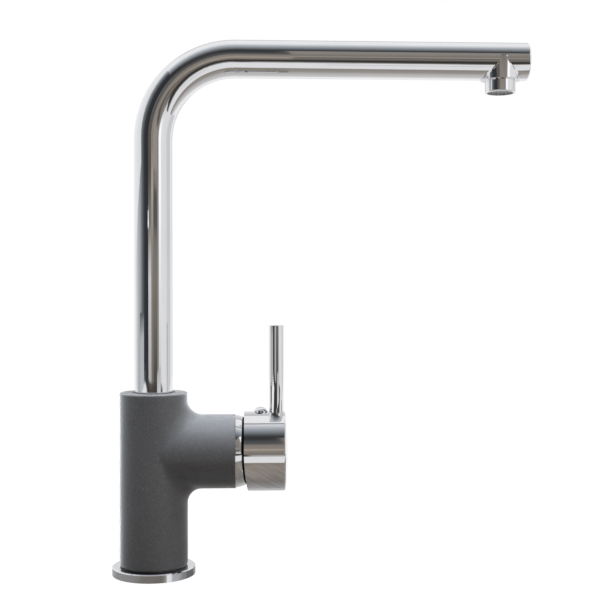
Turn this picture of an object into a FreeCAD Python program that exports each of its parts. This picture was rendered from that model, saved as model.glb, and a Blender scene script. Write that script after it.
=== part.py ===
import FreeCAD, Part
import math
import os

# Side-lever kitchen mixer with a swivelling L-shaped spout, as it comes apart on a bench.
# The origin is the centre of the column on the deck. +Z is up, and +X points along the
# spout arm and the lever branch. All sizes are in millimetres, angles in degrees.

# Clearances shared by all pieces
turning_clearance = 0.05
push_clearance = 0.05
free_clearance = 0.3
cut_overrun = 1.0
match_distance = 0.01

# Base ring on the deck, its two gaskets and the spigot it is centred on
ring_radius = 27.7
ring_height = 5.5
ring_chamfer = 0.6
ring_bore_clearance = 0.2
gasket_inset = 2.0
gasket_width = 4.5
gasket_thickness = 1.5
base_seal_thickness = 0.5
base_seal_recess = 0.6
spigot_wall = 1.8
spigot_inset = 1.0

# Cast body: a column with a side branch for the cartridge
column_radius = 22.7
column_head = 15.2
column_edge_round = 1.2
branch_height = 82.0
branch_radius = 24.8
branch_edge_round = 0.7
branch_root_inset = 0.9
branch_neck_length = 34.0
branch_neck_sections = 4
blend_radius = 10.0

# Inlet block with two hose ports and the hole of the fixing stud
block_radius = 17.0
block_height = 21.0
port_radius = 5.0
port_depth = 14.0
port_x = 6.0
port_y = 7.5
stud_hole_radius = 4.0
stud_hole_depth = 14.0
stud_x = -9.5
riser_radius = 2.8
riser_x = 10.0
riser_overlap = 3.0
bore_overrun = 0.5
inlet_seal_width = 1.4
inlet_seal_thickness = 1.0

# Water ports of the cartridge, placed about the branch axis
inlet_port_y = 7.0
inlet_port_rise = 5.0
inlet_port_radius = 2.5
outlet_port_drop = 5.0
outlet_port_radius = 3.0
spout_way_radius = 3.5

# Spout: one bent tube with a slightly wider outlet stub let into its underside and brazed in
tube_radius = 12.7
tube_wall = 1.2
bend_radius = 55.0
arm_height = 346.0
nozzle_x = 234.8
arm_overhang = 18.4
stub_radius = 12.9
stub_lip = 0.3
stub_chamfer = 0.25
stub_head = 3.0
stub_shoulder_round = 2.0
stub_braze_radius = 1.8
plug_thickness = 1.6
plug_round = 1.0
plug_spigot_length = 4.0

# Spout foot in its socket at the top of the column
socket_floor_rise = 11.5
socket_radius = 13.3
foot_bore_radius = 8.0
foot_end_gap = 0.3
foot_land = 1.1
foot_shoulder = 2.5
foot_spigot_length = 10.0
lower_ring_height = 3.0
lower_ring_wall = 1.65
seal_width = 2.4
seal_height = 2.6
seal_groove_slack = 0.1
seal_notch_width = 1.2
seal_notch_depth = 1.1
seal_count = 2
snap_thickness = 1.2
snap_bite = 1.05
snap_reach = 0.7
snap_opening_angle = 40.0
snap_clearance = 0.1
wear_ring_width = 2.0
wear_ring_height = 4.0
wear_ring_sink = 0.4

# Aerator in its threaded sleeve inside the stub
sleeve_bore_radius = 10.0
sleeve_length = 9.0
aerator_radius = 10.35
aerator_drop = 8.4
aerator_round = 0.9
aerator_wall = 0.75
aerator_lip_radius = 8.8
aerator_lip_height = 1.0
aerator_thread_length = 6.5
mesh_thickness = 0.8
mesh_pitch = 2.2
mesh_hole = 1.5
mesh_rim = 0.9
insert_wall = 0.9
insert_plate = 2.0
insert_jet_radius = 0.9
insert_jet_circle = 5.6
insert_jet_count = 10
aerator_gasket_width = 1.8
aerator_gasket_thickness = 1.6

# Cartridge: fixed pieces, stacked along the branch axis from its seat
seat_x = 20.0
seat_depth = 35.2
cartridge_radius = 20.0
cartridge_base_thickness = 6.0
port_seal_width = 1.4
port_seal_thickness = 1.5
peg_radius = 1.5
peg_length = 2.0
peg_y = 14.0
disc_gasket_thickness = 1.0
fixed_disc_clearance = 0.3
fixed_disc_thickness = 4.0
housing_wall = 2.9
housing_top_wall = 4.0
housing_length = 24.0
housing_neck_length = 6.0
housing_neck_wall = 2.9
nut_thread_step = 1.3
nut_end_inset = 0.5
nut_slot_width = 3.0
nut_slot_depth = 2.5
nut_slot_count = 6

# Cartridge: turning and sliding pieces
moving_disc_radius = 10.8
moving_disc_thickness = 4.0
disc_film = 0.05
disc_pocket_radius = 4.0
disc_pocket_half_length = 3.5
disc_pocket_depth = 2.0
disc_pocket_drop = 4.5
slider_half_width = 9.0
slider_half_height = 8.0
slider_length = 5.95
slider_socket_radius = 3.2
slider_clearance = 0.1
carrier_neck_radius = 12.0
carrier_leg_thickness = 3.2
carrier_leg_half_height = 8.5
carrier_neck_overhang = 1.0
pin_radius = 1.5
pin_end_inset = 1.0
stem_half_width = 4.0
stem_ball_radius = 2.9
stem_ball_inset = 3.95
stem_ball_neck_radius = 2.2
stem_square_inner_reach = 6.0
stem_outer_reach = 32.0
stem_chamfer = 0.6

# Dome collar: part of a ball about the tilt pivot, a little smaller than the branch
pivot_inset = 3.2
dome_radius = 24.5
dome_wall = 2.0
dome_opening_angle = 47.0
collar_thread_length = 4.8

# Handle: cap, lever, and the button over its clamping screw
tilt_range = 20.0
cap_gap = 5.6
cap_clearance = 1.0
cap_wall = 1.05
cap_length = 27.6
cap_crown = 2.0
cap_edge_round = 1.0
cap_end_wall = 4.2
cap_core_inset = 3.0
cap_core_taper_length = 14.0
cap_relief_radius = 167.0
cap_relief_rise = 4.0
boss_radius = 7.5
boss_reach = 16.5
stem_socket_clearance = 0.05
lever_setback = 21.7
lever_radius = 4.92
lever_top = 167.0
lever_round = 0.6
lever_spigot_radius = 3.0
lever_spigot_end_rise = 15.0
lever_boss_wall = 2.5
end_rib_drop = 7.5
button_setback = 11.1
button_radius = 4.65
button_edge = 0.7
button_crown = 2.6
button_shank_radius = 3.4
button_shank_length = 3.5
key_hole_depth = 3.6
grub_screw_radius = 2.5
grub_screw_length = 5.0
grub_screw_key_radius = 1.4
grub_screw_key_depth = 2.5
grub_screw_key_sides = 6


def point(x, y, z):
    return FreeCAD.Vector(x, y, z)


UP = point(0, 0, 1)
ALONG = point(1, 0, 0)
ACROSS = point(0, 1, 0)

# Places that follow from the sizes above
spigot_radius = block_radius + spigot_wall
ring_bore_radius = spigot_radius + ring_bore_clearance
gasket_inner_radius = ring_bore_radius + gasket_inset
gasket_outer_radius = gasket_inner_radius + gasket_width
column_bottom = ring_height + base_seal_thickness
column_top = branch_height + branch_radius + column_head
socket_floor = branch_height + socket_floor_rise
block_top = spigot_inset + block_height
port_top = spigot_inset + port_depth
branch_root_half_width = column_radius - branch_root_inset
branch_end = seat_x + seat_depth
inlet_height = branch_height + inlet_port_rise
outlet_height = branch_height - outlet_port_drop
arm_end = nozzle_x + arm_overhang
stub_face = arm_height - tube_radius - stub_lip
tube_bore_radius = tube_radius - tube_wall
foot_radius = socket_radius - turning_clearance
foot_low = socket_floor + foot_end_gap
snap_inner_radius = foot_radius - snap_bite
snap_outer_radius = socket_radius + snap_reach
snap_groove_width = snap_thickness + 2 * snap_clearance
seal_groove_width = seal_height + seal_groove_slack
seal_step = seal_groove_width + foot_land
first_groove = foot_low + lower_ring_height + foot_land
snap_groove_low = first_groove + seal_count * seal_step
foot_top = snap_groove_low + snap_groove_width + foot_shoulder
wear_ring_radius = tube_radius + wear_ring_width
wear_ring_top = column_top - wear_ring_sink
aerator_low = stub_face - aerator_drop
aerator_thread_top = stub_face + aerator_thread_length
aerator_thread_radius = sleeve_bore_radius - push_clearance
aerator_bore_radius = aerator_thread_radius - aerator_wall
mesh_low = aerator_low + aerator_lip_height
mesh_top = mesh_low + mesh_thickness
base_top_x = seat_x + cartridge_base_thickness
fixed_disc_x = base_top_x + disc_gasket_thickness
moving_disc_x = fixed_disc_x + fixed_disc_thickness + disc_film
slider_x = moving_disc_x + moving_disc_thickness
housing_end_x = base_top_x + housing_length
housing_bore_radius = cartridge_radius - housing_wall
fixed_disc_radius = housing_bore_radius - fixed_disc_clearance
carrier_x = slider_x + slider_length + free_clearance
neck_bore_radius = carrier_neck_radius + turning_clearance
neck_radius = neck_bore_radius + housing_neck_wall
neck_end_x = housing_end_x + housing_neck_length
nut_thread_radius = cartridge_radius + nut_thread_step
collar_thread_end = branch_end + collar_thread_length
nut_end_x = collar_thread_end - nut_end_inset
pivot_x = branch_end - pivot_inset
cap_bore_radius = dome_radius + cap_clearance
cap_radius = cap_bore_radius + cap_wall
cap_rear = branch_end + cap_gap
cap_corner = cap_rear + cap_length
lever_x = cap_rear + lever_setback
button_x = cap_rear + button_setback
cap_nose = cap_corner + cap_crown
cap_end_wall_x = cap_nose - cap_end_wall
cap_top = branch_height + cap_radius
cap_core_radius = cap_bore_radius - cap_core_inset
boss_x = pivot_x + boss_reach
stem_end_x = pivot_x + stem_outer_reach
stem_ball_x = slider_x + stem_ball_inset
water_ports = (
    (inlet_port_y, inlet_height, inlet_port_radius),
    (-inlet_port_y, inlet_height, inlet_port_radius),
    (0.0, outlet_height, outlet_port_radius),
)


def upright(radius, low, high, x=0.0, y=0.0):
    """Cylinder about a vertical axis through (x, y)."""
    return Part.makeCylinder(radius, high - low, point(x, y, low), UP)


def lengthwise(radius, start, end, y=0.0, height=branch_height):
    """Cylinder about an axis along X."""
    return Part.makeCylinder(radius, end - start, point(start, y, height), ALONG)


def crosswise(radius, half_length, x, height=branch_height):
    """Cylinder about an axis along Y, centred on the middle plane."""
    return Part.makeCylinder(radius, 2 * half_length, point(x, -half_length, height), ACROSS)


def upright_ring(inner, outer, low, high, x=0.0, y=0.0):
    return upright(outer, low, high, x, y).cut(upright(inner, low, high, x, y))


def lengthwise_ring(inner, outer, start, end, y=0.0, height=branch_height):
    return lengthwise(outer, start, end, y, height).cut(lengthwise(inner, start, end, y, height))


def block(x_low, x_high, half_width, z_low, z_high):
    """Rectangular block, centred on the middle plane."""
    return Part.makeBox(x_high - x_low, 2 * half_width, z_high - z_low, point(x_low, -half_width, z_low))


def bow(centre, radius, start_angle, end_angle):
    """Start, middle and end of an arc in an outline, by angles from the outline's first axis."""
    angles = (start_angle, (start_angle + end_angle) / 2, end_angle)
    turns = [math.radians(angle) for angle in angles]
    return tuple((centre[0] + radius * math.cos(t), centre[1] + radius * math.sin(t)) for t in turns)


def outline_face(place, steps):
    """Face inside a closed outline of points and arcs; place turns a pair of numbers into a point."""
    edges = []
    first = place(*(steps[0][0] if len(steps[0]) == 3 else steps[0]))
    here = first
    for step in steps:
        points = [place(*pair) for pair in step] if len(step) == 3 else [place(*step)]
        if not points[0].isEqual(here, 1e-6):
            edges.append(Part.LineSegment(here, points[0]).toShape())
        if len(points) == 3:
            edges.append(Part.Arc(*points).toShape())
        here = points[-1]
    if not here.isEqual(first, 1e-6):
        edges.append(Part.LineSegment(here, first).toShape())
    return Part.Face(Part.Wire(edges))


def turned_upright(steps, x=0.0):
    """Turned piece about a vertical axis; its outline is in (radius, height)."""
    face = outline_face(lambda radius, height: point(x + radius, 0, height), steps)
    return face.revolve(point(x, 0, 0), UP, 360)


def turned_lengthwise(steps):
    """Turned piece about the branch axis; its outline is in (x, radius)."""
    face = outline_face(lambda x, radius: point(x, 0, branch_height + radius), steps)
    return face.revolve(point(0, 0, branch_height), ALONG, 360)


def fuse_all(shapes):
    return shapes[0].multiFuse(shapes[1:]).removeSplitter()


def base_ring():
    """Polished ring on the deck, with the deck gasket's groove in its underside."""
    return turned_upright([
        (ring_bore_radius, 0), (gasket_inner_radius, 0), (gasket_inner_radius, gasket_thickness),
        (gasket_outer_radius, gasket_thickness), (gasket_outer_radius, 0), (ring_radius, 0),
        (ring_radius, ring_height - ring_chamfer), (ring_radius - ring_chamfer, ring_height),
        (ring_bore_radius, ring_height),
    ])


def deck_gasket():
    return upright_ring(gasket_inner_radius, gasket_outer_radius, 0, gasket_thickness)


def base_seal():
    """Dark seal that shows as a thin line between the ring and the body."""
    outer = column_radius - base_seal_recess
    return upright_ring(ring_bore_radius, outer, ring_height, column_bottom)


def riser_bores(low, high):
    return [upright(riser_radius, low, high, riser_x, side * inlet_port_y) for side in (1, -1)]


def inlet_seal_rings():
    low = block_top - inlet_seal_thickness
    outer = riser_radius + inlet_seal_width
    return [
        upright_ring(riser_radius, outer, low, block_top, riser_x, side * inlet_port_y)
        for side in (1, -1)
    ]


def inlet_block():
    """Brass block in the body's foot: two hose ports from below, two risers to the cartridge."""
    solid = upright(block_radius, spigot_inset, block_top)
    ports = [upright(port_radius, spigot_inset, port_top, port_x, side * port_y) for side in (1, -1)]
    stud_hole = upright(stud_hole_radius, spigot_inset, spigot_inset + stud_hole_depth, stud_x)
    risers = riser_bores(port_top - riser_overlap, block_top)
    return solid.cut(ports + risers + [stud_hole] + inlet_seal_rings())


def inlet_seals():
    return Part.makeCompound(inlet_seal_rings())


def oval(x, half_width, half_height):
    """Upright oval across the branch."""
    edge = Part.Ellipse(UP * half_height, ACROSS * half_width, point(0, 0, 0)).toShape()
    return Part.Wire(edge.translated(point(x, 0, branch_height)))


def blended_tee():
    """Column and branch, drawn in where they meet and joined by one large rolling fillet."""
    column = upright(column_radius, column_bottom, column_top)
    sections = []
    for index in range(branch_neck_sections):
        share = index / (branch_neck_sections - 1)
        growth = share * share * (3 - 2 * share)
        half_width = branch_radius - (branch_radius - branch_root_half_width) * (1 - growth)
        sections.append(oval(share * branch_neck_length, half_width, branch_radius))
    neck = Part.makeLoft(sections, True, False)
    joined = column.fuse(neck)
    seams = [
        edge for edge in joined.Edges
        if edge.BoundBox.XMin > 0 and edge.BoundBox.XMax < column_radius + match_distance
    ]
    wall_above = column_top - column_edge_round - branch_height - branch_radius
    wall_below = branch_height - branch_radius - column_bottom - column_edge_round
    blended = joined.makeFillet(min(blend_radius, wall_above, wall_below), seams)
    return blended.fuse(lengthwise(branch_radius, branch_neck_length, branch_end))


def lies_level(edge, height):
    """True for an edge that lies flat at a height."""
    box = edge.BoundBox
    return max(abs(box.ZMin - height), box.ZLength) < match_distance


def body_casting():
    """Cast body with its coat, bored for the inlet block, the cartridge and the spout foot."""
    tee = blended_tee()
    rims = [
        edge for edge in tee.Edges
        if lies_level(edge, column_top) or lies_level(edge, column_bottom)
    ]
    tee = tee.makeFillet(column_edge_round, rims)
    mouths = [edge for edge in tee.Edges if edge.BoundBox.XMin > branch_end - match_distance]
    tee = tee.makeFillet(branch_edge_round, mouths)
    tee = tee.fuse(upright(spigot_radius, spigot_inset, column_bottom + column_edge_round))
    return tee.cut(water_ways() + spout_socket() + cartridge_chamber())


def water_ways():
    """Bores of the body: the block's seat, two risers to the cartridge and the way to the spout."""
    ways = [upright(block_radius + push_clearance, spigot_inset, block_top)]
    ways += riser_bores(block_top, inlet_height + inlet_port_radius + bore_overrun)
    ways += [
        lengthwise(inlet_port_radius, riser_x, seat_x, side * inlet_port_y, inlet_height)
        for side in (1, -1)
    ]
    ways.append(lengthwise(outlet_port_radius, 0, seat_x, 0, outlet_height))
    spout_way_low = outlet_height - outlet_port_radius - bore_overrun
    ways.append(upright(spout_way_radius, spout_way_low, socket_floor))
    return ways


def spout_socket():
    groove_radius = snap_outer_radius + snap_clearance
    groove_top = snap_groove_low + snap_groove_width
    return [
        upright(socket_radius, socket_floor, column_top),
        upright(wear_ring_radius, wear_ring_top - wear_ring_height, column_top),
        upright(groove_radius, snap_groove_low, groove_top),
    ]


def peg_rods(clearance, start):
    return [
        lengthwise(peg_radius + clearance, start, seat_x, side * peg_y)
        for side in (1, -1)
    ]


def cartridge_chamber():
    chamber = lengthwise(cartridge_radius + push_clearance, seat_x, housing_end_x)
    thread = lengthwise(nut_thread_radius, housing_end_x, branch_end)
    return [chamber, thread] + peg_rods(push_clearance, seat_x - peg_length - push_clearance)


def wear_ring():
    """Dark ring round the tube where it enters the body."""
    low = wear_ring_top - wear_ring_height
    inner = tube_radius + turning_clearance
    return upright_ring(inner, wear_ring_radius - push_clearance, low, wear_ring_top)


def snap_ring():
    """Open ring in the body's groove that keeps the spout foot down."""
    low = snap_groove_low + snap_clearance
    high = low + snap_thickness
    ring = upright_ring(snap_inner_radius, snap_outer_radius, low, high)
    half_opening = snap_outer_radius * math.tan(math.radians(snap_opening_angle / 2))
    return ring.cut(block(0, 2 * snap_outer_radius, half_opening, low, high))


def bent_rod(radius, low, end):
    """Round bar along the spout's centre line, from height low to x = end."""
    turn_height = arm_height - bend_radius
    turn_centre = point(bend_radius, 0, turn_height)
    middle = turn_centre + point(-1, 0, 1) * (bend_radius / math.sqrt(2))
    rise_end = point(0, 0, turn_height)
    arm_start = point(bend_radius, 0, arm_height)
    path = Part.Wire([
        Part.LineSegment(point(0, 0, low), rise_end).toShape(),
        Part.Arc(rise_end, middle, arm_start).toShape(),
        Part.LineSegment(arm_start, point(end, 0, arm_height)).toShape(),
    ])
    section = Part.Wire(Part.Circle(point(0, 0, low), UP, radius).toShape())
    return path.makePipeShell([section], True, False)


def is_stub_seam(edge):
    """True for an edge where the stub's side meets the arm's."""
    middle = edge.valueAt((edge.FirstParameter + edge.LastParameter) / 2)
    off_arm = abs(math.hypot(middle.y, middle.z - arm_height) - tube_radius)
    off_stub = abs(math.hypot(middle.x - nozzle_x, middle.y) - stub_radius)
    return max(off_arm, off_stub) < match_distance


def stubbed_rod(arm_tube_end):
    """Outside of the tube with its stub: the braze runs all round the seam and is faced off below."""
    arm = bent_rod(tube_radius, foot_top, arm_tube_end)
    head = arm_height + stub_head
    shoulder = (stub_radius - stub_shoulder_round, head - stub_shoulder_round)
    unfaced_low = stub_face - 2 * stub_braze_radius
    stub = turned_upright([
        (0, unfaced_low), (stub_radius, unfaced_low), bow(shoulder, stub_shoulder_round, 0, 90), (0, head),
    ], nozzle_x)
    joined = arm.fuse(stub)
    seams = [edge for edge in joined.Edges if is_stub_seam(edge)]
    brazed = joined.makeFillet(stub_braze_radius, seams)
    faced = brazed.cut(upright(2 * stub_radius, unfaced_low, stub_face, nozzle_x))
    rim = [edge for edge in faced.Edges if lies_level(edge, stub_face)]
    return faced.makeChamfer(stub_chamfer, rim)


def spout_tube():
    """Bent tube with the wider outlet stub let into its underside, its head rounded into the arm."""
    arm_tube_end = arm_end - plug_thickness
    inside = bent_rod(tube_bore_radius, foot_top, arm_tube_end)
    stub_bore = upright(tube_bore_radius, stub_face, arm_height, nozzle_x)
    return stubbed_rod(arm_tube_end).cut([inside, stub_bore])


def spout_end_plug():
    """Flat plug brazed into the end of the arm and polished flush with it."""
    face_x = arm_end - plug_thickness
    spigot = tube_bore_radius - push_clearance
    corner = (arm_end - plug_round, tube_radius - plug_round)
    plug = turned_lengthwise([
        (face_x - plug_spigot_length, 0), (face_x - plug_spigot_length, spigot), (face_x, spigot),
        (face_x, tube_radius), bow(corner, plug_round, 90, 0), (arm_end, 0),
    ])
    return plug.translated(point(0, 0, arm_height - branch_height))


def groove_lows():
    return [first_groove + index * seal_step for index in range(seal_count)]


def spout_foot():
    """Turned brass foot brazed into the tube, grooved for the wear ring, seals and snap ring."""
    spigot = tube_bore_radius - push_clearance
    foot = upright(foot_radius, foot_low, foot_top)
    foot = foot.fuse(upright(spigot, foot_top, foot_top + foot_spigot_length))
    lower_ring_inner = foot_radius - lower_ring_wall
    cuts = [upright_ring(lower_ring_inner, foot_radius, foot_low, foot_low + lower_ring_height)]
    for low in groove_lows():
        cuts.append(upright_ring(foot_radius - seal_width, foot_radius, low, low + seal_groove_width))
    snap_groove_radius = snap_inner_radius - snap_clearance
    snap_groove_high = snap_groove_low + snap_groove_width
    cuts.append(upright_ring(snap_groove_radius, foot_radius, snap_groove_low, snap_groove_high))
    cuts.append(upright(foot_bore_radius, foot_low, foot_top + foot_spigot_length))
    return foot.cut(cuts)


def lip_seal(low):
    """Rubber ring with a V-notch in its upper side, whose outer lip runs on the socket's wall."""
    inner = foot_radius - seal_width
    high = low + seal_height
    middle = (inner + foot_radius) / 2
    return turned_upright([
        (inner, low), (foot_radius, low), (foot_radius, high), (middle + seal_notch_width / 2, high),
        (middle, high - seal_notch_depth), (middle - seal_notch_width / 2, high), (inner, high),
    ])


def spout_seals():
    """Two lip seals in the foot's grooves."""
    return Part.makeCompound([lip_seal(low) for low in groove_lows()])


def lower_wear_ring():
    return upright_ring(foot_radius - lower_ring_wall, foot_radius, foot_low, foot_low + lower_ring_height)


def nozzle_sleeve():
    """Threaded sleeve brazed inside the stub."""
    top = stub_face + sleeve_length
    return upright_ring(sleeve_bore_radius, tube_bore_radius, stub_face, top, nozzle_x)


def aerator_housing():
    """Turned shell screwed into the sleeve, with a lip at its mouth that holds the mesh."""
    corner = (aerator_radius - aerator_round, aerator_low + aerator_round)
    return turned_upright([
        (aerator_lip_radius, aerator_low), bow(corner, aerator_round, -90, 0),
        (aerator_radius, stub_face), (aerator_thread_radius, stub_face),
        (aerator_thread_radius, aerator_thread_top), (aerator_bore_radius, aerator_thread_top),
        (aerator_bore_radius, mesh_low), (aerator_lip_radius, mesh_low),
    ], nozzle_x)


def aerator_mesh():
    """Square mesh in the aerator's mouth."""
    radius = aerator_bore_radius - push_clearance
    disc = upright(radius, mesh_low, mesh_top, nozzle_x)
    reach = int(radius / mesh_pitch)
    holes = []
    for column in range(-reach, reach + 1):
        for row in range(-reach, reach + 1):
            x = nozzle_x + column * mesh_pitch
            y = row * mesh_pitch
            corner = math.hypot(abs(x - nozzle_x) + mesh_hole / 2, abs(y) + mesh_hole / 2)
            if corner < radius - mesh_rim:
                low = point(x - mesh_hole / 2, y - mesh_hole / 2, mesh_low)
                holes.append(Part.makeBox(mesh_hole, mesh_hole, mesh_thickness, low))
    return disc.cut(holes)


def aerator_insert():
    """Plastic flow insert: an open cup whose top plate has a circle of jets."""
    outer = aerator_bore_radius - push_clearance
    cup = upright(outer, mesh_top, aerator_thread_top, nozzle_x)
    hollow = upright(outer - insert_wall, mesh_top, aerator_thread_top - insert_plate, nozzle_x)
    jets = []
    for index in range(insert_jet_count):
        turn = 2 * math.pi * index / insert_jet_count
        x = nozzle_x + insert_jet_circle * math.cos(turn)
        y = insert_jet_circle * math.sin(turn)
        low = aerator_thread_top - insert_plate
        jets.append(upright(insert_jet_radius, low, aerator_thread_top, x, y))
    return cup.cut([hollow] + jets)


def aerator_gasket():
    inner = aerator_thread_radius - aerator_gasket_width
    top = aerator_thread_top + aerator_gasket_thickness
    return upright_ring(inner, aerator_thread_radius, aerator_thread_top, top, nozzle_x)


def port_rods(start, end):
    return [lengthwise(radius, start, end, y, height) for y, height, radius in water_ports]


def port_seals():
    """Three seals between the cartridge and its seat in the body."""
    end = seat_x + port_seal_thickness
    rings = []
    for y, height, radius in water_ports:
        rings.append(lengthwise_ring(radius, radius + port_seal_width, seat_x, end, y, height))
    return Part.makeCompound(rings)


def cartridge_base():
    """Ported base of the cartridge, located by two pegs."""
    base = lengthwise(cartridge_radius, seat_x, base_top_x)
    base = base.fuse(peg_rods(0, seat_x - peg_length))
    return base.cut(port_rods(seat_x, base_top_x) + [port_seals()])


def disc_gasket():
    gasket = lengthwise(fixed_disc_radius, base_top_x, fixed_disc_x)
    return gasket.cut(port_rods(base_top_x, fixed_disc_x))


def fixed_disc():
    """Ceramic disc with the three ports."""
    end = fixed_disc_x + fixed_disc_thickness
    disc = lengthwise(fixed_disc_radius, fixed_disc_x, end)
    return disc.cut(port_rods(fixed_disc_x, end))


def cartridge_housing():
    """Cup over the discs, with a neck that guides the turning carrier."""
    top_wall_x = housing_end_x - housing_top_wall
    return turned_lengthwise([
        (base_top_x, housing_bore_radius), (base_top_x, cartridge_radius),
        (housing_end_x, cartridge_radius), (housing_end_x, neck_radius), (neck_end_x, neck_radius),
        (neck_end_x, neck_bore_radius), (top_wall_x, neck_bore_radius),
        (top_wall_x, housing_bore_radius),
    ])


def cartridge_nut():
    """Threaded ring that clamps the cartridge, with slots for a peg spanner."""
    thread = nut_thread_radius - push_clearance
    ring = lengthwise_ring(neck_radius + free_clearance, thread, housing_end_x, nut_end_x)
    slots = []
    for index in range(nut_slot_count):
        slot = Part.makeBox(
            nut_slot_depth, nut_slot_width, thread,
            point(nut_end_x - nut_slot_depth, -nut_slot_width / 2, branch_height),
        )
        slot.rotate(point(0, 0, branch_height), ALONG, 360 * index / nut_slot_count)
        slots.append(slot)
    return ring.cut(slots)


def dome_collar():
    """Polished ball-shaped collar, screwed on the nut, about which the handle tilts."""
    centre = (pivot_x, 0)
    inner_radius = dome_radius - dome_wall
    rear_angle = math.degrees(math.acos(pivot_inset / dome_radius))
    inner_angle = math.degrees(math.acos((collar_thread_end - pivot_x) / inner_radius))
    return turned_lengthwise([
        (branch_end, nut_thread_radius),
        bow(centre, dome_radius, rear_angle, dome_opening_angle),
        bow(centre, inner_radius, dome_opening_angle, inner_angle),
        (collar_thread_end, nut_thread_radius),
    ])


def moving_disc():
    """Ceramic disc with the mixing pocket that links the inlets to the outlet."""
    end = moving_disc_x + moving_disc_thickness
    disc = lengthwise(moving_disc_radius, moving_disc_x, end)
    pocket_end = moving_disc_x + disc_pocket_depth
    height = branch_height - disc_pocket_drop
    pocket = [
        lengthwise(disc_pocket_radius, moving_disc_x, pocket_end, side * disc_pocket_half_length, height)
        for side in (1, -1)
    ]
    low = height - disc_pocket_radius
    high = height + disc_pocket_radius
    pocket.append(block(moving_disc_x, pocket_end, disc_pocket_half_length, low, high))
    return disc.cut(pocket)


def disc_slider():
    """Driver fixed on the moving disc, with the socket of the stem's ball."""
    end = slider_x + slider_length
    low = branch_height - slider_half_height
    high = branch_height + slider_half_height
    driver = block(slider_x, end, slider_half_width, low, high)
    return driver.cut(lengthwise(slider_socket_radius, stem_ball_x - stem_ball_radius, end))


def stem_way():
    """Space the square stem sweeps in the carrier as it tilts, a little larger than the stem."""
    half = stem_half_width + free_clearance
    lean = math.radians(tilt_range)
    inner_reach = pivot_x - carrier_x + free_clearance
    outer_reach = neck_end_x + carrier_neck_overhang - pivot_x + free_clearance
    waist = half / math.cos(lean)
    inner_lift = waist + inner_reach * math.tan(lean)
    outer_drop = waist + outer_reach * math.tan(lean)
    face = outline_face(lambda x, z: point(pivot_x + x, -half, branch_height + z), [
        (outer_reach, half), (0, waist), (-inner_reach, inner_lift),
        (-inner_reach, -half), (0, -waist), (outer_reach, -outer_drop),
    ])
    return face.extrude(ACROSS * (2 * half))


def turning_carrier():
    """Plastic carrier that turns with the handle and drives the slider between its legs."""
    plate_end = housing_end_x - housing_top_wall - 2 * turning_clearance
    outer_end = neck_end_x + carrier_neck_overhang
    plate = lengthwise(housing_bore_radius - free_clearance, carrier_x, plate_end)
    neck = lengthwise(carrier_neck_radius, carrier_x, outer_end)
    leg_inner = slider_half_width + slider_clearance
    leg_outer = leg_inner + carrier_leg_thickness
    leg_x = slider_x + free_clearance
    low = branch_height - carrier_leg_half_height
    high = branch_height + carrier_leg_half_height
    legs = block(leg_x, carrier_x, leg_outer, low, high).cut(block(leg_x, carrier_x, leg_inner, low, high))
    carrier = fuse_all([plate, neck, legs])
    return carrier.cut([stem_way(), crosswise(pin_radius, carrier_neck_radius, pivot_x)])


def stem_pin():
    return crosswise(pin_radius, carrier_neck_radius - pin_end_inset, pivot_x)


def lever_stem():
    """Square steel stem on the pivot pin, with a ball at its inner end."""
    inner = pivot_x - stem_square_inner_reach
    low = branch_height - stem_half_width
    high = branch_height + stem_half_width
    bar = block(inner, stem_end_x, stem_half_width, low, high)
    long_edges = [edge for edge in bar.Edges if edge.BoundBox.XLength > stem_outer_reach]
    bar = bar.makeChamfer(stem_chamfer, long_edges)
    ball = Part.makeSphere(stem_ball_radius, point(stem_ball_x, 0, branch_height))
    neck = lengthwise(stem_ball_neck_radius, stem_ball_x, inner)
    stem = bar.fuse([neck, ball])
    return stem.cut(crosswise(pin_radius + turning_clearance, 2 * stem_half_width, pivot_x))


def cap_relief():
    """Space cut from the cap's lower rear edge so that it clears the branch when it tilts."""
    start = branch_height + cap_relief_rise
    bottom = branch_height - cap_radius - free_clearance
    sweep = math.degrees(math.asin((start - bottom) / cap_relief_radius))
    centre = (cap_rear + cap_relief_radius, start)
    behind = cap_rear - cap_gap
    half_width = cap_radius + cut_overrun
    edge = bow(centre, cap_relief_radius, 180, 180 + sweep)
    face = outline_face(lambda x, z: point(x, -half_width, z), [(behind, start), edge, (behind, bottom)])
    return face.extrude(ACROSS * (2 * half_width))


def crown_bow(top, half_width, crown):
    """Arc from the edge of a domed end to its top on the axis."""
    ball_radius = (half_width ** 2 + crown ** 2) / (2 * crown)
    edge_angle = math.degrees(math.asin(half_width / ball_radius))
    return bow((top - ball_radius, 0), ball_radius, edge_angle, 0)


def handle_cap():
    """Handle shell over the dome, with a boss for the stem and one for the lever."""
    corner = (cap_corner - cap_edge_round, cap_radius - cap_edge_round)
    crown = crown_bow(cap_nose, corner[1], cap_crown)
    shell = turned_lengthwise([
        (cap_rear, cap_bore_radius), (cap_rear, cap_radius), bow(corner, cap_edge_round, 90, 0),
        crown, (cap_end_wall_x, 0), (cap_end_wall_x, cap_core_radius),
        (cap_end_wall_x - cap_core_taper_length, cap_bore_radius),
    ])
    stem_boss = lengthwise(boss_radius, boss_x, cap_end_wall_x)
    lever_boss_low = branch_height + lever_spigot_end_rise - lever_boss_wall
    lever_boss_radius = lever_spigot_radius + lever_boss_wall
    lever_boss = upright(lever_boss_radius, lever_boss_low, cap_top - cap_wall, lever_x)
    end_rib = block(lever_x, cap_end_wall_x, lever_boss_wall, lever_boss_low, cap_top - end_rib_drop)
    cap = fuse_all([shell, stem_boss, lever_boss, end_rib])
    return cap.cut([cap_relief(), lever_hole(), key_hole(), stem_socket()])


def lever_hole():
    low = branch_height + lever_spigot_end_rise
    return upright(lever_spigot_radius + push_clearance, low, cap_top + cut_overrun, lever_x)


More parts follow.
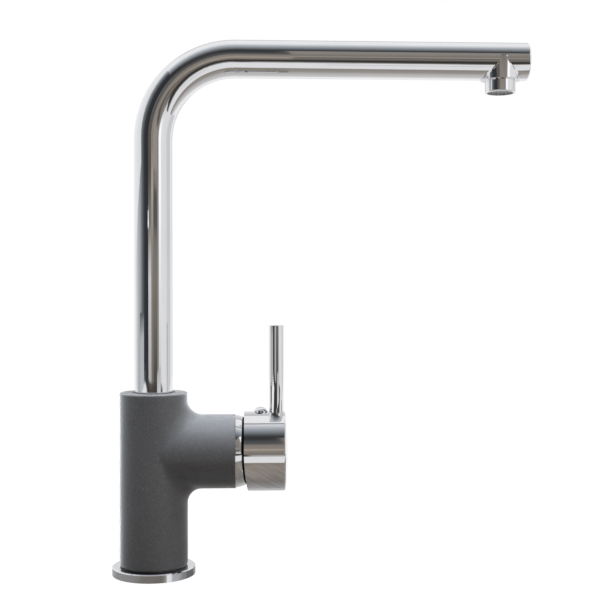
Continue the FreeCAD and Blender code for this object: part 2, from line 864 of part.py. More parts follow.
def key_hole():
    """Hole for the hex key, through the cap's wall and the stem boss."""
    radius = button_shank_radius + push_clearance
    wall = upright(radius, cap_top - key_hole_depth, cap_top + cut_overrun, button_x)
    boss_top = branch_height + boss_radius + cut_overrun
    boss = upright(grub_screw_radius, branch_height, boss_top, button_x)
    return wall.fuse(boss)


def stem_socket():
    half = stem_half_width + stem_socket_clearance
    end = stem_end_x + stem_socket_clearance
    return block(boss_x, end, half, branch_height - half, branch_height + half)


def above_cap(shape):
    """The part of a shape outside the cap's round outside."""
    return shape.cut(lengthwise(cap_radius, cap_rear, cap_nose))


def lever_pin():
    """Polished lever screwed upright into the cap, its foot fitted to the cap's curve."""
    corner = (lever_radius - lever_round, lever_top - lever_round)
    rod = turned_upright([
        (0, cap_top - cap_wall), (lever_radius, cap_top - cap_wall),
        bow(corner, lever_round, 0, 90), (0, lever_top),
    ], lever_x)
    spigot_low = branch_height + lever_spigot_end_rise + push_clearance
    spigot = upright(lever_spigot_radius, spigot_low, cap_top + cut_overrun, lever_x)
    return above_cap(rod).fuse(spigot)


def screw_cover_button():
    """Domed button pressed into the hole over the clamping screw."""
    crown = crown_bow(cap_top + button_edge + button_crown, button_radius, button_crown)
    upright_crown = tuple((radius, height) for height, radius in crown)
    head = turned_upright([
        (0, cap_top - cap_wall), (button_radius, cap_top - cap_wall), upright_crown,
    ], button_x)
    shank = upright(button_shank_radius, cap_top - button_shank_length, cap_top, button_x)
    return above_cap(head).fuse(shank)


def grub_screw():
    """Clamping screw with a hexagon socket, tightened on the stem."""
    low = branch_height + stem_half_width + stem_socket_clearance
    high = low + grub_screw_length
    screw = upright(grub_screw_radius, low, high, button_x)
    corners = []
    for index in range(grub_screw_key_sides + 1):
        turn = 2 * math.pi * index / grub_screw_key_sides
        x = button_x + grub_screw_key_radius * math.cos(turn)
        y = grub_screw_key_radius * math.sin(turn)
        corners.append(point(x, y, high - grub_screw_key_depth))
    key = Part.Face(Part.makePolygon(corners)).extrude(UP * grub_screw_key_depth)
    return screw.cut(key)


pieces = (
    base_ring,
    deck_gasket,
    base_seal,
    inlet_block,
    inlet_seals,
    body_casting,
    wear_ring,
    snap_ring,
    spout_tube,
    spout_end_plug,
    spout_foot,
    spout_seals,
    lower_wear_ring,
    nozzle_sleeve,
    aerator_housing,
    aerator_mesh,
    aerator_insert,
    aerator_gasket,
    port_seals,
    cartridge_base,
    disc_gasket,
    fixed_disc,
    cartridge_housing,
    cartridge_nut,
    dome_collar,
    moving_disc,
    disc_slider,
    turning_carrier,
    stem_pin,
    lever_stem,
    handle_cap,
    lever_pin,
    screw_cover_button,
    grub_screw,
)


os.makedirs("parts", exist_ok=True)
for make_piece in pieces:
    make_piece().exportStep("parts/" + make_piece.__name__ + ".step")
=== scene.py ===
import bpy
import math
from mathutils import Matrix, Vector


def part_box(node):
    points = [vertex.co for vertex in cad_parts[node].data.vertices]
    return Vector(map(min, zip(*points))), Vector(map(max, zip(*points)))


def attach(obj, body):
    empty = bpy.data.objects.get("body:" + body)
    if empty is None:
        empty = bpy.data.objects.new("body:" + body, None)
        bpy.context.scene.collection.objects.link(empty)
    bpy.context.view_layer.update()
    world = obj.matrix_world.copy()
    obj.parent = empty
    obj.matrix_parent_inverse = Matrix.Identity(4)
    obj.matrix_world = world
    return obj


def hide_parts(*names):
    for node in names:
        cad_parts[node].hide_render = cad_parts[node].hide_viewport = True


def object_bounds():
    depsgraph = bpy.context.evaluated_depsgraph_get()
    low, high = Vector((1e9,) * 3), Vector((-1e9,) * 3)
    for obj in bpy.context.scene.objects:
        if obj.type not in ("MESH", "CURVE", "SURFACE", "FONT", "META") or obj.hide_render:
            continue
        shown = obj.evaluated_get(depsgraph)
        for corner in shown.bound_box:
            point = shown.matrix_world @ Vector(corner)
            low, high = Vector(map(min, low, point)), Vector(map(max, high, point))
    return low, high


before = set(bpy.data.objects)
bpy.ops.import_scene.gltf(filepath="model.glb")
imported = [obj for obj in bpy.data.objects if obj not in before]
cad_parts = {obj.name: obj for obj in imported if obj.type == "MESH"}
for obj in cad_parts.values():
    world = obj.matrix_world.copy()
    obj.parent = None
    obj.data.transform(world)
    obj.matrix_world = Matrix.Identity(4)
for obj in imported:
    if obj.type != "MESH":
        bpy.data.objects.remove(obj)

cad_low, cad_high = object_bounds()


# Base ring: a turned brass ring, polished and chrome plated, that stands on the deck.
# A flat rubber gasket lies in a groove of its underside, and a thin dark seal parts it
# from the body above, so that no plating rubs on the coat.
class Shade:
    """One output of a node in a finish. Plain arithmetic on it adds Math nodes."""

    def __init__(self, tree, socket=None):
        self.tree = tree
        self.socket = socket

    def add(self, kind, settings, values, output=0):
        """Adds a node, sets it up, fills its sockets with numbers or links, gives one output."""
        made = self.tree.nodes.new("ShaderNode" + kind)
        for name, setting in settings.items():
            if name == "stops":
                self.set_stops(made.color_ramp, setting)
            else:
                setattr(made, name, setting)
        for name, value in values.items():
            if isinstance(value, Shade):
                self.tree.links.new(value.socket, made.inputs[name])
            else:
                made.inputs[name].default_value = value
        return Shade(self.tree, made.outputs[output] if made.outputs else None)

    def set_stops(self, ramp, stops):
        while len(ramp.elements) < len(stops):
            ramp.elements.new(1.0)
        for element, (position, colour) in zip(ramp.elements, stops):
            element.position = position
            element.color = (*colour, 1.0)

    def math(self, operation, *values):
        return self.add("Math", {"operation": operation}, dict(enumerate(values)))

    def limited(self, low, high):
        """The share of the way from low to high, kept between 0 and 1."""
        values = {"Value": self, "From Min": low, "From Max": high}
        return self.add("MapRange", {}, values)

    def mixed(self, first, second):
        """A colour between two colours, by this share."""
        settings = {"data_type": "RGBA"}
        return self.add("Mix", settings, {0: self, 6: first, 7: second}, 2)

    def part(self, axis):
        """One coordinate of a place: X, Y or Z."""
        return self.add("SeparateXYZ", {}, {"Vector": self}, axis)

    def __add__(self, other):
        return self.math("ADD", self, other)

    def __sub__(self, other):
        return self.math("SUBTRACT", self, other)

    def __rsub__(self, other):
        return self.math("SUBTRACT", other, self)

    def __mul__(self, other):
        return self.math("MULTIPLY", self, other)

    def __gt__(self, other):
        return self.math("GREATER_THAN", self, other)


def start_finish(name):
    """Empty finish, and the place on the piece that its patterns read."""
    finish = bpy.data.materials.new(name)
    finish.use_nodes = True
    finish.node_tree.nodes.clear()
    place = Shade(finish.node_tree).add("TexCoord", {}, {}, "Object")
    return finish, place


def end_finish(place, values):
    """Closes a finish with one shader of these values."""
    surface = place.add("BsdfPrincipled", {}, values)
    place.add("OutputMaterial", {}, {"Surface": surface})


def clouds(place, scale, detail=2.0, roughness=0.5):
    """Soft noise with features of about one part in scale of a metre."""
    values = {"Vector": place, "Scale": scale, "Detail": detail, "Roughness": roughness}
    return place.add("TexNoise", {}, values, "Fac")


def relief(place, height, depth):
    """Bump of a height from 0 to 1 over a depth in metres."""
    values = {"Height": height, "Distance": depth, "Strength": 1.0}
    return place.add("Bump", {}, values, "Normal")


def chrome_plate(name, painted_shade_inside=None):
    """Chrome over polished brass: nearly a mirror, with a faint haze and a polisher's ripple.

    Inside a deep shell it is painted near-black and dull: painted shade of the hollow.
    """
    finish, place = start_finish(name)
    haze = clouds(place, scale=38.0, detail=4.0).limited(0.35, 0.75)
    specks = clouds(place, scale=900.0, detail=1.0).limited(0.62, 0.8)
    ripple = clouds(place, scale=55.0, detail=1.0)
    colour = haze.mixed((0.80, 0.80, 0.815, 1.0), (0.76, 0.765, 0.785, 1.0))
    roughness = haze * 0.035 + specks * 0.02 + 0.025
    metallic = 1.0
    if painted_shade_inside:
        # Painted shade: the hollow is painted near-black, non-metal and dull.
        inside = painted_shade_inside(place)
        colour = inside.mixed(colour, (0.012, 0.011, 0.010, 1.0))
        roughness = inside * 0.6 + roughness
        metallic = 1.0 - inside
    end_finish(place, {
        "Base Color": colour,
        "Metallic": metallic,
        "Roughness": roughness,
        "Normal": relief(place, ripple, depth=0.00006),
    })
    return finish


def moulded_rubber():
    """Black rubber with the dull skin of its mould and some paler dust."""
    finish, place = start_finish("moulded_rubber")
    dust = clouds(place, scale=260.0, detail=4.0).limited(0.5, 0.85)
    skin = clouds(place, scale=2400.0, detail=2.0)
    end_finish(place, {
        "Base Color": dust.mixed((0.012, 0.012, 0.012, 1.0), (0.045, 0.044, 0.042, 1.0)),
        "Roughness": dust * 0.2 + 0.55,
        "Normal": relief(place, skin, depth=0.00002),
    })
    return finish


def dress(finish, *names):
    """Gives CAD nodes their finish."""
    for name in names:
        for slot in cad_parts[name].material_slots:
            slot.material = finish


chrome = chrome_plate("chrome_plate")
rubber = moulded_rubber()
dress(chrome, "base_ring")
dress(rubber, "deck_gasket", "base_seal")


# Inlet block: turned from brass bar and fixed in the body's foot. From below it shows two
# hose ports and the fixing stud's hole, all three with cut threads.
def turned_brass(name, axis, height=0.0):
    """Bare brass off the lathe, with fine tool rings about an upright or a lengthwise axis."""
    finish, place = start_finish(name)
    centred = place.add("Mapping", {}, {"Vector": place, "Location": (0.0, 0.0, -height)})
    settings = {"wave_type": "RINGS", "rings_direction": axis}
    values = {"Vector": centred, "Scale": 420.0, "Distortion": 0.4}
    rings = place.add("TexWave", settings, values, "Fac")
    stain = clouds(place, scale=120.0, detail=4.0).limited(0.4, 0.8)
    end_finish(place, {
        "Base Color": stain.mixed((0.80, 0.61, 0.30, 1.0), (0.55, 0.37, 0.16, 1.0)),
        "Metallic": 1.0,
        "Roughness": stain * 0.15 + rings * 0.06 + 0.22,
        "Normal": relief(place, rings, depth=0.000012),
    })
    return finish


upright_brass = turned_brass("upright_brass", "Z")
dress(upright_brass, "inlet_block", "spout_foot")
dress(rubber, "inlet_seals")

thread_depth = 0.0005
thread_pitch = 0.00125
thread_turns = 9
thread_steps = 28
flank_reach = thread_pitch * 0.42
wall_gap = 0.00002
port_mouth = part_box("inlet_block")[0].z
threads = (
    # Name, x and y of the hole's axis, and the hole's radius.
    ("stud_thread", -0.0095, 0.0, 0.004),
    ("hose_thread_a", 0.006, 0.0075, 0.005),
    ("hose_thread_b", 0.006, -0.0075, 0.005),
)
for name, hole_x, hole_y, hole_radius in threads:
    bpy.ops.object.select_all(action="DESELECT")
    root = hole_radius - wall_gap
    start = port_mouth + thread_pitch
    corners = [
        (root, 0.0, start - flank_reach),
        (root - thread_depth, 0.0, start),
        (root, 0.0, start + flank_reach),
    ]
    profile = bpy.data.meshes.new(name)
    profile.from_pydata(corners, [(0, 1), (1, 2), (2, 0)], [])
    thread = bpy.data.objects.new(name, profile)
    bpy.context.collection.objects.link(thread)
    bpy.context.view_layer.objects.active = thread
    thread.select_set(True)
    winding = thread.modifiers.new("winding", "SCREW")
    winding.axis = "Z"
    winding.screw_offset = thread_pitch
    winding.iterations = thread_turns
    winding.steps = thread_steps
    winding.render_steps = thread_steps
    bpy.ops.object.modifier_apply(modifier=winding.name)
    bpy.ops.object.mode_set(mode="EDIT")
    bpy.ops.mesh.select_all(action="SELECT")
    bpy.ops.mesh.normals_make_consistent(inside=False)
    bpy.ops.transform.translate(value=(hole_x, hole_y, 0.0))
    bpy.ops.object.mode_set(mode="OBJECT")
    bpy.ops.object.shade_smooth_by_angle(angle=math.radians(35))
    thread.data.materials.append(upright_brass)
    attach(thread, "base")


# Body: a cast column with a side branch, drawn in where the two meet. Its outside has a
# baked granite-effect coat, anthracite with fine pale grains, and its foot is bare metal.
def granite_coat(foot):
    """Thick baked coat of fine mineral grains, matt with a soft sheen, bare below the foot."""
    finish, place = start_finish("granite_coat")
    grains = place.add("TexVoronoi", {}, {"Vector": place, "Scale": 2600.0}, "Color")
    grain = grains.add("SeparateColor", {}, {"Color": grains}, "Red")
    fine = clouds(place, scale=1100.0, detail=4.0, roughness=0.6)
    drift = clouds(place, scale=45.0, detail=3.0).limited(0.3, 0.7)
    tone = fine.limited(0.3, 0.7) * 0.5 + grain * 0.3 + drift * 0.2
    base = tone.mixed((0.072, 0.071, 0.074, 1.0), (0.111, 0.109, 0.114, 1.0))
    pale_above, dark_below = 0.965, 0.04
    with_pale = (grain > pale_above).mixed(base, (0.160, 0.158, 0.165, 1.0))
    speckled = (grain > dark_below).mixed((0.045, 0.046, 0.048, 1.0), with_pale)
    coated = place.part("Z") > foot
    end_finish(place, {
        "Base Color": coated.mixed((0.62, 0.50, 0.30, 1.0), speckled),
        "Metallic": 1.0 - coated,
        "Roughness": drift * 0.05 + fine * 0.08 + 0.38,
        "Normal": relief(place, fine * 0.7 + grain * 0.3, depth=0.00003),
        "Coat Weight": coated * 0.16,
        "Coat Roughness": 0.32,
        "Specular IOR Level": 0.36,
        "Sheen Weight": 0.85,
        "Sheen Roughness": 0.35,
    })
    return finish


bare_edge = 0.0001
dress(granite_coat(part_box("body_casting")[0].z + bare_edge), "body_casting")


# Rings at the tube's foot: a dark grey plastic one that shows as a thin line round the tube,
# and below it a ring of spring steel in the body's groove, rubber lip seals on the foot and
# a black plastic ring at its end.
def moulded_plastic(name, deep, pale, dullness):
    """Moulded plastic with a slight flow pattern and a fine spark-eroded grain."""
    finish, place = start_finish(name)
    flow = clouds(place, scale=90.0, detail=3.0).limited(0.3, 0.7)
    grain = clouds(place, scale=3000.0, detail=1.0)
    end_finish(place, {
        "Base Color": flow.mixed(deep, pale),
        "Roughness": flow * 0.08 + dullness,
        "Normal": relief(place, grain, depth=0.000008),
    })
    return finish


def drawn_steel():
    """Bright stainless steel with the fine streaks of drawing along its length."""
    finish, place = start_finish("drawn_steel")
    stretched = place.add("Mapping", {}, {"Vector": place, "Scale": (0.06, 1.0, 1.0)})
    streaks = clouds(stretched, scale=2600.0, detail=2.0)
    end_finish(place, {
        "Base Color": streaks.mixed((0.42, 0.42, 0.43, 1.0), (0.62, 0.62, 0.63, 1.0)),
        "Metallic": 1.0,
        "Roughness": streaks * 0.16 + 0.2,
        "Normal": relief(place, streaks, depth=0.00001),
    })
    return finish


black_plastic = moulded_plastic(
    "black_plastic", (0.012, 0.012, 0.013, 1.0), (0.03, 0.03, 0.032, 1.0), 0.38,
)
steel = drawn_steel()
grey_plastic = moulded_plastic(
    "grey_plastic", (0.050, 0.052, 0.058, 1.0), (0.078, 0.080, 0.088, 1.0), 0.26,
)
dress(grey_plastic, "wear_ring")
dress(black_plastic, "lower_wear_ring")
dress(steel, "snap_ring")
dress(rubber, "spout_seals")


# Spout: one bent brass tube with its outlet stub brazed into the underside, a threaded
# sleeve in the stub and a flat plug in the end of the arm, polished and plated together.
dress(chrome, "spout_tube", "spout_end_plug", "nozzle_sleeve")


# Aerator: a chrome ring screwed into the stub, a plastic flow insert with its gasket, and
# in the mouth a disc of woven steel wire in a pressed rim.
white_plastic = moulded_plastic(
    "white_plastic", (0.55, 0.56, 0.57, 1.0), (0.68, 0.69, 0.70, 1.0), 0.32,
)
dress(chrome, "aerator_housing")
dress(white_plastic, "aerator_insert")
dress(rubber, "aerator_gasket")

mesh_low, mesh_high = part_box("aerator_mesh")
mouth = (mesh_low + mesh_high) / 2
mouth_radius = (mesh_high.x - mesh_low.x) / 2
wire_pitch = 0.00095
wire_radius = 0.00014
wire_wave = 0.00016
wire_sides = 6
wire_end_gap = 0.0003
side_gap = 0.0006
cuts_per_pitch = 4
rim_sides = 96
rim_wall = 0.00045
rim_gap = 0.00002
wires_each_side = int((mouth_radius - side_gap) / wire_pitch)


def weave_wire(offset, phase, along_x):
    """One wire across the mouth, waved over and under the wires that cross it."""
    reach = math.sqrt((mouth_radius - wire_end_gap) ** 2 - offset ** 2)
    bpy.ops.object.select_all(action="DESELECT")
    bpy.ops.mesh.primitive_cylinder_add(vertices=wire_sides, radius=wire_radius, depth=2 * reach)
    wire = bpy.context.object
    bpy.ops.object.mode_set(mode="EDIT")
    bpy.ops.mesh.select_all(action="SELECT")
    cuts = int(2 * reach / wire_pitch * cuts_per_pitch)
    for cut in range(1, cuts):
        height = -reach + 2 * reach * cut / cuts
        bpy.ops.mesh.select_all(action="SELECT")
        bpy.ops.mesh.bisect(plane_co=(0, 0, height), plane_no=(0, 0, 1))
    bpy.ops.object.mode_set(mode="OBJECT")
    for vertex in wire.data.vertices:
        along = vertex.co.z
        lift = wire_wave * math.cos(math.pi * along / wire_pitch + phase)
        side, height = vertex.co.x + offset, vertex.co.y + lift
        spot = (along, side, height) if along_x else (side, along, height)
        vertex.co = mouth + Vector(spot)
    return wire


wires = []
for index in range(-wires_each_side, wires_each_side + 1):
    turn = math.pi * (index % 2)
    wires.append(weave_wire(index * wire_pitch, turn, True))
    wires.append(weave_wire(index * wire_pitch, turn + math.pi, False))
bpy.ops.object.select_all(action="DESELECT")
bpy.ops.mesh.primitive_cylinder_add(
    vertices=rim_sides, radius=mouth_radius - rim_gap, depth=mesh_high.z - mesh_low.z,
    end_fill_type="NOTHING", location=mouth,
)
rim = bpy.context.object
bpy.ops.object.transform_apply(location=True)
wall = rim.modifiers.new("wall", "SOLIDIFY")
wall.thickness = rim_wall
wall.offset = -1.0
bpy.ops.object.modifier_apply(modifier=wall.name)
for wire in wires:
    wire.select_set(True)
bpy.context.view_layer.objects.active = rim
bpy.ops.object.join()
rim.name = "aerator_weave"
bpy.ops.object.mode_set(mode="EDIT")
bpy.ops.mesh.select_all(action="SELECT")
bpy.ops.mesh.normals_make_consistent(inside=False)
bpy.ops.object.mode_set(mode="OBJECT")
bpy.ops.object.shade_smooth_by_angle(angle=math.radians(50))
rim.data.materials.append(steel)
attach(rim, "spout")
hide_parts("aerator_mesh")


# Cartridge: plastic base and housing round two lapped ceramic discs, with rubber seals
# below and a brass ring nut that clamps it in the branch. A black carrier turns in its neck.
def lapped_ceramic():
    """Fired alumina, ivory white, ground and lapped to a soft shine."""
    finish, place = start_finish("lapped_ceramic")
    body = clouds(place, scale=400.0, detail=4.0).limited(0.3, 0.7)
    lapping = clouds(place, scale=5000.0, detail=1.0)
    end_finish(place, {
        "Base Color": body.mixed((0.80, 0.78, 0.72, 1.0), (0.88, 0.86, 0.81, 1.0)),
        "Roughness": body * 0.06 + 0.16,
        "Normal": relief(place, lapping, depth=0.000003),
    })
    return finish


branch_axis = (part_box("dome_collar")[0].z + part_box("dome_collar")[1].z) / 2
ceramic = lapped_ceramic()
lengthwise_brass = turned_brass("lengthwise_brass", "X", branch_axis)
dress(rubber, "port_seals", "disc_gasket")
dress(white_plastic, "cartridge_base", "cartridge_housing")
dress(ceramic, "fixed_disc", "moving_disc")
dress(lengthwise_brass, "cartridge_nut")
dress(black_plastic, "disc_slider", "turning_carrier")
dress(steel, "stem_pin", "lever_stem")


# Dome collar and handle: the collar, the cap, the lever and the button are turned brass,
# polished and plated. A blackened clamping screw under the button grips the stem.
def blackened_steel():
    """Heat-blackened screw steel with an oily, slightly worn skin."""
    finish, place = start_finish("blackened_steel")
    wear = clouds(place, scale=700.0, detail=4.0).limited(0.55, 0.8)
    skin = clouds(place, scale=2500.0, detail=1.0)
    end_finish(place, {
        "Base Color": wear.mixed((0.03, 0.03, 0.034, 1.0), (0.22, 0.22, 0.23, 1.0)),
        "Metallic": 1.0,
        "Roughness": wear * -0.1 + 0.42,
        "Normal": relief(place, skin, depth=0.000006),
    })
    return finish


cap_low, cap_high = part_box("handle_cap")
cap_wall, cap_end_wall = 0.00102, 0.00415


def cap_inside(place):
    """1 nearer to the branch's axis than the cap's wall and behind its end, else 0."""
    across, rise = place.part("Y"), place.part("Z") - branch_axis
    squared_distance = across * across + rise * rise
    beyond_wall = squared_distance > ((cap_high.z - cap_low.z) / 2 - cap_wall) ** 2
    in_end = place.part("X") > cap_high.x - cap_end_wall
    return (1.0 - beyond_wall) * (1.0 - in_end)


dress(chrome, "dome_collar", "lever_pin", "screw_cover_button")
# The cap's hollow is painted near-black: painted shade inside its shell.
dress(chrome_plate("cap_plate_painted_shade", cap_inside), "handle_cap")
dress(blackened_steel(), "grub_screw")


# Floor and world: a plain floor that keeps the tap's soft shadow, under an even sky. What the
# eye and the metal see of both is white, and the light that falls on the tap is milder.
def seen_directly(tree):
    """1 for rays of the eye, of gloss and of glass, else 0."""
    start = Shade(tree)
    eye = start.add("LightPath", {}, {}, "Is Camera Ray")
    gloss = start.add("LightPath", {}, {}, "Is Glossy Ray")
    glass = start.add("LightPath", {}, {}, "Is Transmission Ray")
    direct = eye + gloss + glass
    return direct.math("MINIMUM", direct, 1.0)


floor_size = 12.0
floor_gap = 0.0002
shadow_strength = 0.07
near_squared, far_squared = 0.06, 0.90
bpy.ops.object.select_all(action="DESELECT")
bpy.ops.mesh.primitive_plane_add(size=floor_size, location=(0.0, 0.0, cad_low.z - floor_gap))
floor = bpy.context.object
floor.name = "floor"
bpy.ops.object.transform_apply(location=True)
white_floor, place = start_finish("white_floor")
seen = seen_directly(white_floor.node_tree)
matt = place.add("BsdfDiffuse", {}, {"Color": (0.13, 0.118, 0.106, 1.0)})
# Painted light: the floor's glow is full white far from the tap and painted a little weaker near it,
# making up for the lamps' falloff round the real shadow.
squared_distance = place.part("X") * place.part("X") + place.part("Y") * place.part("Y")
share = squared_distance.limited(near_squared, far_squared)
shine = share.mixed((0.985, 0.985, 0.985, 1.0), (1.0, 1.0, 1.0, 1.0))
glow = place.add("Emission", {}, {"Color": shine, "Strength": 1.08})
blend = place.add("MixShader", {}, {0: seen * (1 - shadow_strength), 1: matt, 2: glow})
place.add("OutputMaterial", {}, {"Surface": blend})
floor.data.materials.append(white_floor)

world = bpy.data.worlds.new("studio")
world.use_nodes = True
world.node_tree.nodes.clear()
sky = Shade(world.node_tree)
mild = sky.add("Background", {}, {"Color": (0.90, 0.95, 1.0, 1.0), "Strength": 0.05})
white = sky.add("Background", {}, {"Color": (1.0, 1.0, 1.0, 1.0), "Strength": 1.0})
mixed = sky.add("MixShader", {}, {0: seen_directly(world.node_tree), 1: mild, 2: white})
sky.add("OutputWorld", {}, {"Surface": mixed})
bpy.context.scene.world = world


# Reflection cards: the walls, ceiling and table of a plain room, seen only in the gloss. They
# give the plating its bands: dark on the left, brown in front, bright on the right.
def end_glow(place, tone):
    """Closes a card's finish, which shines with this tone."""
    glow = place.add("Emission", {}, {"Color": tone, "Strength": 1.0})
    place.add("OutputMaterial", {}, {"Surface": glow})


def keep_in_gloss(card):
    """Hides a card from the eye, from matt surfaces and from shadows."""
    card.visible_camera = False
    card.visible_diffuse = False
    card.visible_shadow = False


def wood_grain(place, tone, strength):
    """Streaks in a tone, from front to back with a slight turn to the right."""
    fibre_width, fibre_length, turn = 0.0036, 0.09, math.radians(-11)
    values = {"Vector": place, "Rotation": (0.0, 0.0, turn), "Scale": (fibre_width, fibre_length, 1.0)}
    lengthwise = place.add("Mapping", {"vector_type": "TEXTURE"}, values)
    streak = clouds(lengthwise, scale=1.0, detail=3.0).limited(0.32, 0.68)
    share = streak * (2 * strength) + (1 - strength)
    return place.add("VectorMath", {"operation": "SCALE"}, {0: tone, "Scale": share})


def gradient_card(name, corners, axis, stops, grain=0.0):
    """Flat card through four corners whose tone runs along one axis, by stops in metres."""
    board = bpy.data.meshes.new(name)
    board.from_pydata(corners, [], [(0, 1, 2, 3)])
    card = bpy.data.objects.new(name, board)
    bpy.context.collection.objects.link(card)
    finish, place = start_finish(name)
    low, high = stops[0][0], stops[-1][0]
    tones = [((position - low) / (high - low), tone) for position, tone in stops]
    share = place.part(axis).limited(low, high)
    tone = place.add("ValToRGB", {"stops": tones}, {"Fac": share}, "Color")
    if grain:
        tone = wood_grain(place, tone, grain)
    end_glow(place, tone)
    board.materials.append(finish)
    keep_in_gloss(card)


def upright_card(name, start, end, low, high, axis, stops):
    """Card between two places on the floor, each an x and a y, and between two heights."""
    corners = [(*start, low), (*end, low), (*end, high), (*start, high)]
    gradient_card(name, corners, axis, stops)


def level_card(name, height, left, right, front, back, stops, grain=0.0):
    """Level card whose tone runs from front to back."""
    corners = [
        (left, front, height), (right, front, height), (right, back, height), (left, back, height),
    ]
    gradient_card(name, corners, "Y", stops, grain)


def grey(level, warmth=0.0):
    """Grey of a level, warmer or cooler by a share of it."""
    return (level * (1 + warmth), level, level * (1 - warmth))


room_front, room_height = -1.60, 1.90
left_x, door_left_x, door_x, shelf_x, corner_x, right_x = -1.30, -0.78, -0.22, 0.14, 0.82, 1.26
window_start, window_end = (1.00, -1.28), (right_x, -0.98)

door_start, door_end = (door_left_x, room_front), (door_x, room_front)
upright_card("door", door_start, door_end, 0.0, room_height, "Z", [
    (0.0, grey(0.55)), (0.22, grey(0.70)), (0.34, grey(0.22, 0.10)), (0.45, grey(0.10, 0.10)),
    (0.90, grey(0.14)), (1.40, grey(0.05)), (1.90, grey(0.06)),
])
upright_card("shelf_wall", door_end, (shelf_x, room_front), 0.0, room_height, "Z", [
    (0.0, grey(0.20, 0.12)), (0.10, grey(0.22, 0.12)), (0.30, grey(0.28, 0.15)),
    (0.40, grey(0.42, 0.15)), (0.50, grey(0.26, 0.15)), (0.78, grey(0.24, 0.12)),
    (0.95, grey(0.11)), (1.25, grey(0.08, -0.05)), (1.50, grey(0.045, -0.03)),
    (1.90, grey(0.045, -0.03)),
])
corner_start = (corner_x, room_front)
upright_card("front_wall", (shelf_x, room_front), corner_start, 0.0, room_height, "Z", [
    (0.0, grey(0.08, 0.14)), (0.10, grey(0.15, 0.14)), (0.22, grey(0.21, 0.14)),
    (0.31, grey(0.19, 0.12)), (0.34, grey(0.11, 0.05)), (0.40, grey(0.11, 0.05)),
    (0.46, grey(0.32, 0.12)), (0.60, grey(0.30, 0.12)), (0.70, grey(0.20, 0.12)),
    (0.95, grey(0.25, 0.12)), (1.40, grey(0.29, 0.08)), (1.68, grey(0.25, 0.06)),
    (1.76, grey(0.06, -0.03)), (1.90, grey(0.06, -0.03)),
])
upright_card("front_corner", corner_start, window_start, 0.0, room_height, "X", [
    (corner_x, grey(0.25, 0.10)), (0.94, grey(0.30, 0.05)), (1.00, grey(0.45)),
])
left_corner = (left_x, room_front)
upright_card("dark_corner", left_corner, door_start, 0.0, room_height, "X", [
    (left_x, grey(0.045, -0.08)), (-0.90, grey(0.03, -0.08)), (door_left_x, grey(0.05, -0.06)),
])
upright_card("left_wall", left_corner, (left_x, 0.95), 0.0, room_height, "Y", [
    (room_front, grey(0.035, -0.08)), (-1.10, grey(0.05, -0.08)), (-0.75, grey(0.12, -0.08)),
    (-0.55, grey(0.20, -0.06)), (-0.37, grey(0.29, -0.05)), (-0.18, grey(0.45, -0.03)),
    (0.18, grey(0.55, -0.02)), (0.45, grey(0.72, -0.02)), (0.95, grey(0.92, -0.01)),
])
pane_x = left_x + 0.005
pane_corners = [
    (pane_x, -0.42, 0.43), (pane_x, 0.95, 0.25), (pane_x, 0.95, 1.90), (pane_x, 0.10, 1.90),
]
gradient_card("left_window", pane_corners, "Y", [
    (-0.42, grey(0.85, -0.02)), (0.95, grey(1.0, -0.01)),
])
upright_card("lamp_glow", (-0.83, -1.55), (-0.66, -1.55), 0.332, 0.361, "Z", [
    (0.332, grey(0.9, -0.02)), (0.345, grey(1.5, -0.02)), (0.361, grey(0.9, -0.02)),
])
upright_card("skirting", (-1.29, -0.90), (-1.29, -0.13), 0.0, 0.15, "Z", [
    (0.0, grey(0.60, -0.03)), (0.10, grey(0.55, -0.03)), (0.15, grey(0.10, -0.05)),
])
upright_card("window", window_start, window_end, 0.0, room_height, "Z", [
    (0.0, grey(0.74)), (0.20, grey(0.95)), (0.38, grey(1.20)), (1.90, grey(1.20)),
])
upright_card("right_wall", window_end, (right_x, 1.10), 0.0, room_height, "Y", [
    (-0.98, grey(0.90)), (0.0, grey(0.86)), (0.12, grey(0.72, -0.02)),
    (0.80, grey(0.72, -0.02)), (1.10, grey(0.90)),
])
upright_card("rear_wall", (-0.75, 1.60), (0.95, 1.60), 0.0, room_height, "Z", [
    (0.0, grey(0.80)), (1.10, grey(0.78, -0.02)), (1.40, grey(0.62, -0.02)),
    (1.90, grey(0.62)),
])
level_card("ceiling", room_height, left_x, right_x, room_front, 0.10, [
    (room_front, grey(0.06, -0.03)), (-1.42, grey(0.07, -0.04)), (-1.10, grey(0.18, -0.07)),
    (-0.86, grey(0.29, -0.08)), (-0.62, grey(0.41, -0.07)), (-0.39, grey(0.56, -0.05)),
    (-0.18, grey(0.74, -0.04)), (0.10, grey(0.94, -0.02)),
])

table_left = -0.70
table_height = cad_low.z - 0.0001
layer_gap = 0.00003
level_card("table", table_height, table_left, right_x, room_front, 0.35, [
    (room_front, grey(0.08, 0.12)), (-1.25, grey(0.045, 0.10)), (-0.95, grey(0.035)),
    (-0.86, grey(0.06)), (-0.75, grey(0.18, 0.08)), (-0.67, grey(0.25, 0.08)),
    (-0.63, grey(0.88)), (-0.19, grey(0.90)), (-0.175, grey(0.27, 0.10)),
    (-0.02, grey(0.36, 0.08)), (0.04, grey(0.52, 0.03)), (0.35, grey(0.80)),
])
level_card("tap_shade", table_height + layer_gap, -0.15, 0.10, -0.175, 0.04, [
    (-0.175, grey(0.23, 0.15)), (-0.12, grey(0.28, 0.13)), (-0.07, grey(0.27, 0.12)),
    (-0.04, grey(0.24, 0.10)), (-0.02, grey(0.21, 0.08)), (-0.005, grey(0.25, 0.06)),
    (0.04, grey(0.42)),
], grain=0.16)

sheen_reach = 0.040
ring_bearing = math.radians(5.3)


